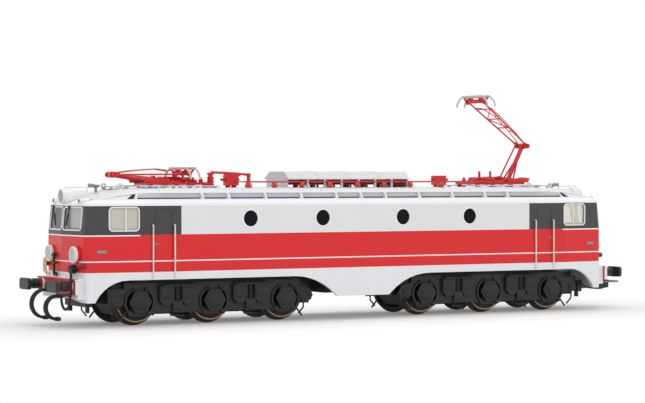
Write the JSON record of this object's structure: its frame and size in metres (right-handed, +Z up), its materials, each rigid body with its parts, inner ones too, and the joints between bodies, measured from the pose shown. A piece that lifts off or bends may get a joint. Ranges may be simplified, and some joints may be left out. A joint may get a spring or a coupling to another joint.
{
  "type": "scale model electric locomotive",
  "caption": "Scale model of an electric locomotive with turning bogies and wheelsets, two folding pantographs and a swinging coupler.",
  "frame": {"origin": "mid-length between the buffer faces, on the track's centre line, at the lowest point of the wheel flanges", "axes": "+X along the locomotive to the end with the coupler, +Y to its left side seen looking along +X, +Z up"},
  "size_m": [0.2246, 0.0358, 0.0753],
  "materials": {
    "livery_red": "satin paint on moulded plastic",
    "roof_silver": "satin silver-white paint",
    "chassis_black": "matt die-cast",
    "motor_grey": "plain",
    "cab_beige": "matt",
    "clear_glazing": "clear moulding",
    "dark_glazing": "dark clear moulding",
    "bright_frame": "printed silver",
    "beam_red": "satin paint",
    "buffer_black": "matt",
    "lamp_lens": "clear",
    "marker_red": "gloss",
    "fitting_black": "matt",
    "handrail_wire": "drawn wire",
    "hose_rubber": "soft moulding",
    "rail_cream": "matt",
    "hood_grey": "satin",
    "resistor_maroon": "satin",
    "wire_red": "painted wire",
    "insulator_red": "gloss",
    "panto_red": "satin paint",
    "coupler_black": "matt",
    "coupler_loop": "stamped wire",
    "bogie_black": "matt moulding",
    "wheel_black": "matt",
    "tyre_bronze": "turned, darkened"
  },
  "bodies": {
    "locomotive_body": {"body_shell": "livery_red", "roof_shell": "roof_silver", "chassis_frame": "chassis_black", "motor_block": "motor_grey", "front_cab_interior": "cab_beige", "rear_cab_interior": "cab_beige", "windscreens": "clear_glazing", "side_windows": "clear_glazing", "porthole_glass": "dark_glazing", "window_frames": "bright_frame", "bufferbeams": "beam_red", "buffers": "buffer_black", "lower_headlights": "bright_frame", "lamp_lenses": "lamp_lens", "marker_lamps": "marker_red", "roof_lamps": "bright_frame", "wipers": "fitting_black", "cab_handrails": "handrail_wire", "front_air_hoses": "hose_rubber", "front_jumper_cable": "hose_rubber", "front_jumper_socket": "fitting_black", "front_bow_rail": "rail_cream", "front_lamp_bracket": "fitting_black", "draw_hooks": "fitting_black", "resistor_hood": "hood_grey", "resistor_bank": "resistor_maroon", "busbar": "wire_red", "busbar_insulators": "insulator_red", "switch_boxes": "panto_red", "horns": "bright_frame", "roof_walkways": "hood_grey", "roof_wires": "handrail_wire", "front_panto_base": "panto_red", "rear_panto_base": "panto_red"},
    "rear_coupler": {"rear_coupler": "coupler_black", "rear_coupler_loop": "coupler_loop"},
    "front_bogie": {"front_bogie_frame": "bogie_black", "front_bogie_sides": "bogie_black"},
    "rear_bogie": {"rear_bogie_frame": "bogie_black", "rear_bogie_sides": "bogie_black"},
    "wheelset_1": {"wheelset_1": "wheel_black", "tyres_1": "tyre_bronze"},
    "wheelset_2": {"wheelset_2": "wheel_black", "tyres_2": "tyre_bronze"},
    "wheelset_3": {"wheelset_3": "wheel_black", "tyres_3": "tyre_bronze"},
    "wheelset_4": {"wheelset_4": "wheel_black", "tyres_4": "tyre_bronze"},
    "wheelset_5": {"wheelset_5": "wheel_black", "tyres_5": "tyre_bronze"},
    "wheelset_6": {"wheelset_6": "wheel_black", "tyres_6": "tyre_bronze"},
    "front_panto_lower_arm": {"front_panto_lower_arm": "panto_red"},
    "front_panto_upper_arm": {"front_panto_upper_arm": "panto_red"},
    "front_panto_head": {"front_panto_head": "panto_red"},
    "front_panto_thrust_rod": {"front_panto_thrust_rod": "panto_red"},
    "rear_panto_lower_arm": {"rear_panto_lower_arm": "panto_red"},
    "rear_panto_upper_arm": {"rear_panto_upper_arm": "panto_red"},
    "rear_panto_head": {"rear_panto_head": "panto_red"},
    "rear_panto_thrust_rod": {"rear_panto_thrust_rod": "panto_red"}
  },
  "joints": [
    {"name": "rear_coupler_swing", "type": "hinge", "parent": "locomotive_body", "child": "rear_coupler", "pos_m": [0.1004, 0, 0.0074], "axis": [0, 0, 1], "range_deg": [-15, 15]},
    {"name": "front_bogie_turn", "type": "hinge", "parent": "locomotive_body", "child": "front_bogie", "pos_m": [-0.0531, 0, 0.012], "axis": [0, 0, 1], "range_deg": [-8, 8]},
    {"name": "rear_bogie_turn", "type": "hinge", "parent": "locomotive_body", "child": "rear_bogie", "pos_m": [0.0531, 0, 0.012], "axis": [0, 0, 1], "range_deg": [-8, 8]},
    {"name": "wheelset_1_spin", "type": "hinge", "parent": "front_bogie", "child": "wheelset_1", "pos_m": [-0.0792, 0, 0.0081], "axis": [0, 1, 0], "continuous": true},
    {"name": "wheelset_2_spin", "type": "hinge", "parent": "front_bogie", "child": "wheelset_2", "pos_m": [-0.0531, 0, 0.0081], "axis": [0, 1, 0], "continuous": true},
    {"name": "wheelset_3_spin", "type": "hinge", "parent": "front_bogie", "child": "wheelset_3", "pos_m": [-0.027, 0, 0.0081], "axis": [0, 1, 0], "continuous": true},
    {"name": "wheelset_4_spin", "type": "hinge", "parent": "rear_bogie", "child": "wheelset_4", "pos_m": [0.027, 0, 0.0081], "axis": [0, 1, 0], "continuous": true},
    {"name": "wheelset_5_spin", "type": "hinge", "parent": "rear_bogie", "child": "wheelset_5", "pos_m": [0.0531, 0, 0.0081], "axis": [0, 1, 0], "continuous": true},
    {"name": "wheelset_6_spin", "type": "hinge", "parent": "rear_bogie", "child": "wheelset_6", "pos_m": [0.0792, 0, 0.0081], "axis": [0, 1, 0], "continuous": true},
    {"name": "front_panto_lower_arm_lift", "type": "hinge", "parent": "locomotive_body", "child": "front_panto_lower_arm", "pos_m": [-0.0694, 0, 0.0455], "axis": [0, 1, 0], "range_deg": [0, 53.8]},
    {"name": "front_panto_upper_arm_fold", "type": "hinge", "parent": "front_panto_lower_arm", "child": "front_panto_upper_arm", "pos_m": [-0.08314, 0, 0.0476], "axis": [0, 1, 0], "range_deg": [-91.05, 0]},
    {"name": "front_panto_head_level", "type": "hinge", "parent": "front_panto_upper_arm", "child": "front_panto_head", "pos_m": [-0.05814, 0, 0.04773], "axis": [0, 1, 0], "range_deg": [0, 37.25]},
    {"name": "front_panto_thrust_rod_swing", "type": "hinge", "parent": "locomotive_body", "child": "front_panto_thrust_rod", "pos_m": [-0.06747, 0, 0.0466], "axis": [0, 1, 0], "range_deg": [0, 55.81]},
    {"name": "rear_panto_lower_arm_lift", "type": "hinge", "parent": "locomotive_body", "child": "rear_panto_lower_arm", "pos_m": [0.0694, 0, 0.0455], "axis": [0, 1, 0], "range_deg": [0, 53.8]},
    {"name": "rear_panto_upper_arm_fold", "type": "hinge", "parent": "rear_panto_lower_arm", "child": "rear_panto_upper_arm", "pos_m": [0.07582, 0, 0.05783], "axis": [0, 1, 0], "range_deg": [-91.05, 0]},
    {"name": "rear_panto_head_level", "type": "hinge", "parent": "rear_panto_upper_arm", "child": "rear_panto_head", "pos_m": [0.05598, 0, 0.07305], "axis": [0, 1, 0], "range_deg": [0, 37.25]},
    {"name": "rear_panto_thrust_rod_swing", "type": "hinge", "parent": "locomotive_body", "child": "rear_panto_thrust_rod", "pos_m": [0.06747, 0, 0.0466], "axis": [0, 1, 0], "range_deg": [0, 55.81]}
  ],
  "couplings": [
    {"joint": "front_panto_upper_arm_fold", "follows": "front_panto_lower_arm_lift", "ratio": -1.6914},
    {"joint": "front_panto_head_level", "follows": "front_panto_lower_arm_lift", "ratio": 0.69145},
    {"joint": "front_panto_thrust_rod_swing", "follows": "front_panto_lower_arm_lift", "ratio": 1.0365},
    {"joint": "rear_panto_upper_arm_fold", "follows": "rear_panto_lower_arm_lift", "ratio": -1.6914},
    {"joint": "rear_panto_head_level", "follows": "rear_panto_lower_arm_lift", "ratio": 0.69145},
    {"joint": "rear_panto_thrust_rod_swing", "follows": "rear_panto_lower_arm_lift", "ratio": 1.0365}
  ]
}
